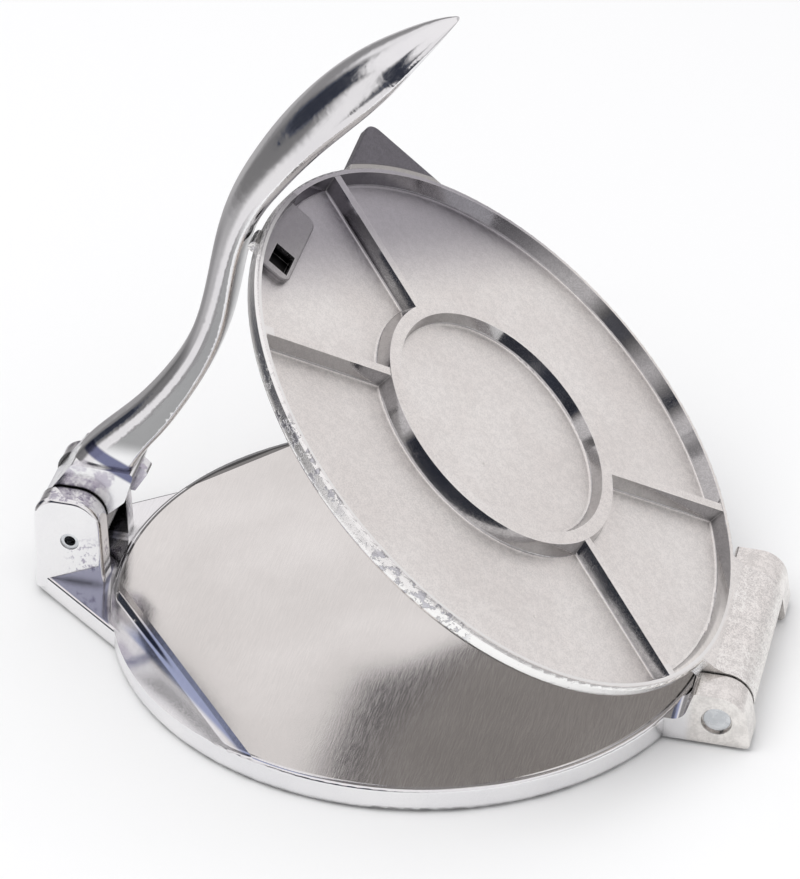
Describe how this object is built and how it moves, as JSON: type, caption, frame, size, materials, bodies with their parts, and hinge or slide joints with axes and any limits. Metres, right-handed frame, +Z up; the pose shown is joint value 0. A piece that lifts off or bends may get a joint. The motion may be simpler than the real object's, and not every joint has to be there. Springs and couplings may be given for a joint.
{
  "type": "tortilla press",
  "caption": "Cast aluminium press: a round base, a hinged upper plate with ribbed recesses, and a curved lever that pivots in a clevis.",
  "frame": {"origin": "centre of the round base plate's underside, on the table", "axes": "+Z up, -X towards the handle's clevis, +X towards the hinge; both pivots run along Y"},
  "size_m": [0.2035, 0.165, 0.1891],
  "materials": {
    "base_casting": "pressing face brushed, edges and lugs polished",
    "upper_casting": "satin as-cast recesses, rim polished",
    "polished_lever": "mirror polished",
    "steel_pin": "plain steel"
  },
  "bodies": {
    "base": {"base_plate": "base_casting", "hinge_pin": "steel_pin", "handle_pin": "steel_pin"},
    "lever": {"handle": "polished_lever"},
    "lid": {"upper_plate": "upper_casting"}
  },
  "joints": [
    {"name": "handle_swing", "type": "hinge", "parent": "base", "child": "lever", "pos_m": [-0.093, 0, 0.02], "axis": [0, -1, 0], "range_deg": [0, 115]},
    {"name": "plate_close", "type": "hinge", "parent": "base", "child": "lid", "pos_m": [0.089, 0, 0.0085], "axis": [0, 1, 0], "range_deg": [-39.1, 0]}
  ],
  "couplings": [
    {"joint": "plate_close", "follows": "handle_swing", "ratio": -0.33982}
  ]
}
